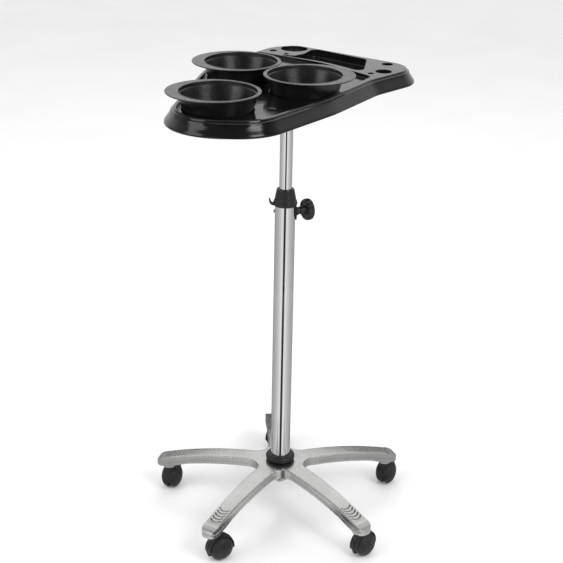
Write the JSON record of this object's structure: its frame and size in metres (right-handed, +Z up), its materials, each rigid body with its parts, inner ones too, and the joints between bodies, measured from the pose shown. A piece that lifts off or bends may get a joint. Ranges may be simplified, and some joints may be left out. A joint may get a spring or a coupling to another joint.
{
  "type": "rolling salon trolley",
  "caption": "Rolling salon trolley: star base on twin-wheel casters, telescopic column with screw clamp, and a palette-shaped tray holding lift-out tint bowls.",
  "frame": {"origin": "on the floor, under the axis of the column", "axes": "+Z up along the column; +X to the right and +Y to the back, as seen from the front with the narrow nose of the tray nearest"},
  "size_m": [0.5228, 0.6101, 0.954],
  "materials": {
    "polished_aluminium": "polished casting",
    "chrome": "mirror-bright plated tube",
    "steel": "zinc-plated",
    "tray_black": "glossy moulded",
    "bowl_black": "satin gloss moulded",
    "fitting_black": "fine satin grain",
    "wheel_black": "satin, slightly worn",
    "nylon": "natural moulded",
    "brass": "turned"
  },
  "bodies": {
    "base": {"star_base": "polished_aluminium", "hub_bolt": "steel", "column_spigot": "chrome", "base_ring": "fitting_black", "outer_tube": "chrome", "top_collar": "fitting_black", "guide_screw": "steel", "clamp_boss": "fitting_black"},
    "post": {"inner_tube": "chrome", "post_bush": "nylon"},
    "tray": {"bracket_socket": "fitting_black", "bracket_plate": "steel", "bracket_screw_1": "steel", "bracket_screw_2": "steel", "bracket_screw_3": "steel", "bracket_screw_4": "steel", "tray": "tray_black", "deck_stud": "fitting_black"},
    "bowl_front": {"bowl_front": "bowl_black"},
    "bowl_left": {"bowl_left": "bowl_black"},
    "bowl_right": {"bowl_right": "bowl_black"},
    "clamp_pad": {"clamp_pad": "brass"},
    "clamp_screw": {"clamp_stud": "steel", "clamp_knob": "fitting_black"},
    "caster_1": {"caster_1_stem": "steel", "caster_1_hood": "fitting_black", "caster_1_axle": "steel"},
    "caster_1_wheel_left": {"caster_1_wheel_left": "wheel_black"},
    "caster_1_wheel_right": {"caster_1_wheel_right": "wheel_black"},
    "caster_2": {"caster_2_stem": "steel", "caster_2_hood": "fitting_black", "caster_2_axle": "steel"},
    "caster_2_wheel_left": {"caster_2_wheel_left": "wheel_black"},
    "caster_2_wheel_right": {"caster_2_wheel_right": "wheel_black"},
    "caster_3": {"caster_3_stem": "steel", "caster_3_hood": "fitting_black", "caster_3_axle": "steel"},
    "caster_3_wheel_left": {"caster_3_wheel_left": "wheel_black"},
    "caster_3_wheel_right": {"caster_3_wheel_right": "wheel_black"},
    "caster_4": {"caster_4_stem": "steel", "caster_4_hood": "fitting_black", "caster_4_axle": "steel"},
    "caster_4_wheel_left": {"caster_4_wheel_left": "wheel_black"},
    "caster_4_wheel_right": {"caster_4_wheel_right": "wheel_black"},
    "caster_5": {"caster_5_stem": "steel", "caster_5_hood": "fitting_black", "caster_5_axle": "steel"},
    "caster_5_wheel_left": {"caster_5_wheel_left": "wheel_black"},
    "caster_5_wheel_right": {"caster_5_wheel_right": "wheel_black"}
  },
  "joints": [
    {"name": "post_slide", "type": "slide", "parent": "base", "child": "post", "axis": [0, 0, 1], "range_m": [-0.14, 0.18]},
    {"name": "tray_turn", "type": "hinge", "parent": "post", "child": "tray", "pos_m": [0, 0, 0.88], "axis": [0, 0, 1], "continuous": true},
    {"name": "bowl_front_lift", "type": "slide", "parent": "tray", "child": "bowl_front", "axis": [0, 0, 1], "range_m": [0, 0.1]},
    {"name": "bowl_left_lift", "type": "slide", "parent": "tray", "child": "bowl_left", "axis": [0, 0, 1], "range_m": [0, 0.1]},
    {"name": "bowl_right_lift", "type": "slide", "parent": "tray", "child": "bowl_right", "axis": [0, 0, 1], "range_m": [0, 0.1]},
    {"name": "clamp_pad_slide", "type": "slide", "parent": "base", "child": "clamp_pad", "axis": [0.891, 0.454, 0], "range_m": [0, 0.0019]},
    {"name": "clamp_screw_turn", "type": "hinge", "parent": "clamp_pad", "child": "clamp_screw", "pos_m": [0.02673, 0.01362, 0.664], "axis": [0.891, 0.454, 0], "range_deg": [0, 540]},
    {"name": "caster_1_swivel", "type": "hinge", "parent": "base", "child": "caster_1", "pos_m": [0.22853, 0.09373, 0.064], "axis": [0, 0, 1], "continuous": true},
    {"name": "caster_1_roll_left", "type": "hinge", "parent": "caster_1", "child": "caster_1_wheel_left", "pos_m": [0.23463, 0.10743, 0.025], "axis": [-0.9135, 0.4067, 0], "continuous": true},
    {"name": "caster_1_roll_right", "type": "hinge", "parent": "caster_1", "child": "caster_1_wheel_right", "pos_m": [0.23463, 0.10743, 0.025], "axis": [-0.9135, 0.4067, 0], "continuous": true},
    {"name": "caster_2_swivel", "type": "hinge", "parent": "base", "child": "caster_2", "pos_m": [-0.01852, 0.2463, 0.064], "axis": [0, 0, 1], "continuous": true},
    {"name": "caster_2_roll_left", "type": "hinge", "parent": "caster_2", "child": "caster_2_wheel_left", "pos_m": [-0.00888, 0.25779, 0.025], "axis": [-0.766, 0.6428, 0], "continuous": true},
    {"name": "caster_2_roll_right", "type": "hinge", "parent": "caster_2", "child": "caster_2_wheel_right", "pos_m": [-0.00888, 0.25779, 0.025], "axis": [-0.766, 0.6428, 0], "continuous": true},
    {"name": "caster_3_swivel", "type": "hinge", "parent": "base", "child": "caster_3", "pos_m": [-0.23997, 0.0585, 0.064], "axis": [0, 0, 1], "continuous": true},
    {"name": "caster_3_roll_left", "type": "hinge", "parent": "caster_3", "child": "caster_3_wheel_left", "pos_m": [-0.23534, 0.07276, 0.025], "axis": [-0.9511, 0.309, 0], "continuous": true},
    {"name": "caster_3_roll_right", "type": "hinge", "parent": "caster_3", "child": "caster_3_wheel_right", "pos_m": [-0.23534, 0.07276, 0.025], "axis": [-0.9511, 0.309, 0], "continuous": true},
    {"name": "caster_4_swivel", "type": "hinge", "parent": "base", "child": "caster_4", "pos_m": [-0.12979, -0.21015, 0.064], "axis": [0, 0, 1], "continuous": true},
    {"name": "caster_4_roll_left", "type": "hinge", "parent": "caster_4", "child": "caster_4_wheel_left", "pos_m": [-0.11707, -0.2022, 0.025], "axis": [-0.5299, 0.848, 0], "continuous": true},
    {"name": "caster_4_roll_right", "type": "hinge", "parent": "caster_4", "child": "caster_4_wheel_right", "pos_m": [-0.11707, -0.2022, 0.025], "axis": [-0.5299, 0.848, 0], "continuous": true},
    {"name": "caster_5_swivel", "type": "hinge", "parent": "base", "child": "caster_5", "pos_m": [0.15976, -0.18838, 0.064], "axis": [0, 0, 1], "continuous": true},
    {"name": "caster_5_roll_left", "type": "hinge", "parent": "caster_5", "child": "caster_5_wheel_left", "pos_m": [0.17036, -0.17777, 0.025], "axis": [-0.7071, 0.7071, 0], "continuous": true},
    {"name": "caster_5_roll_right", "type": "hinge", "parent": "caster_5", "child": "caster_5_wheel_right", "pos_m": [0.17036, -0.17777, 0.025], "axis": [-0.7071, 0.7071, 0], "continuous": true}
  ],
  "couplings": [
    {"joint": "clamp_pad_slide", "follows": "clamp_screw_turn", "m_per_rad": 0.000199}
  ]
}
